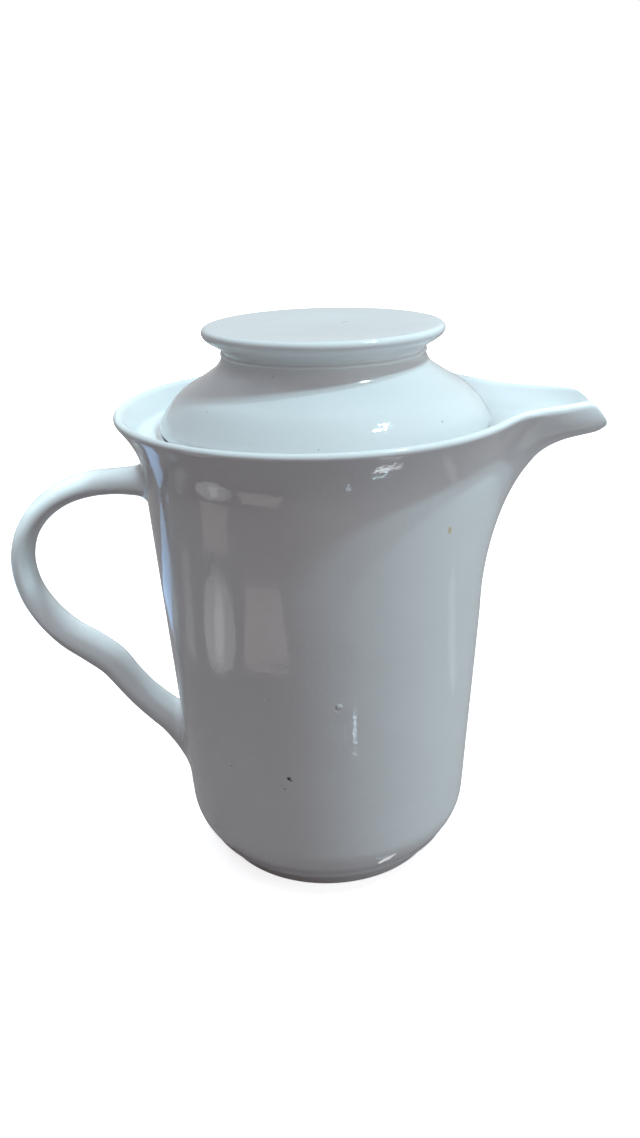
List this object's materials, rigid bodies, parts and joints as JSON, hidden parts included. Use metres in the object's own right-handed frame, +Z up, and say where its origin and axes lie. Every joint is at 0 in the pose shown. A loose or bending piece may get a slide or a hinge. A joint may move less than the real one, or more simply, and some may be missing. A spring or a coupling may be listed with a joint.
{
  "type": "lidded jug",
  "caption": "Round, slightly tapering porcelain jug with a pulled pouring lip, an S-bent strap handle and a loose domed lid whose knob is a broad flat disc.",
  "frame": {"origin": "centre of the foot ring's underside, on the axis of the round body", "axes": "+Z up, +X towards the pouring lip, the handle along -X"},
  "size_m": [0.218, 0.1418, 0.201],
  "materials": {
    "pot_glaze": "glossy white glaze with a few small faults",
    "handle_glaze": "glossy white glaze with a few small faults",
    "foot_bare": "bare ground porcelain",
    "lid_glaze": "glossy white glaze with a few small faults",
    "collar_glaze": "glossy white glaze with a few small faults",
    "knob_glaze": "glossy white glaze with a few small faults"
  },
  "bodies": {
    "pot": {"pot_body": "pot_glaze", "foot_ring": "foot_bare", "handle": "handle_glaze"},
    "lid": {"lid_dome": "lid_glaze", "lid_flange": "collar_glaze", "lid_knob": "knob_glaze"}
  },
  "joints": [
    {"name": "lid_lift", "type": "slide", "parent": "pot", "child": "lid", "axis": [0, 0, 1], "range_m": [0, 0.06]}
  ]
}
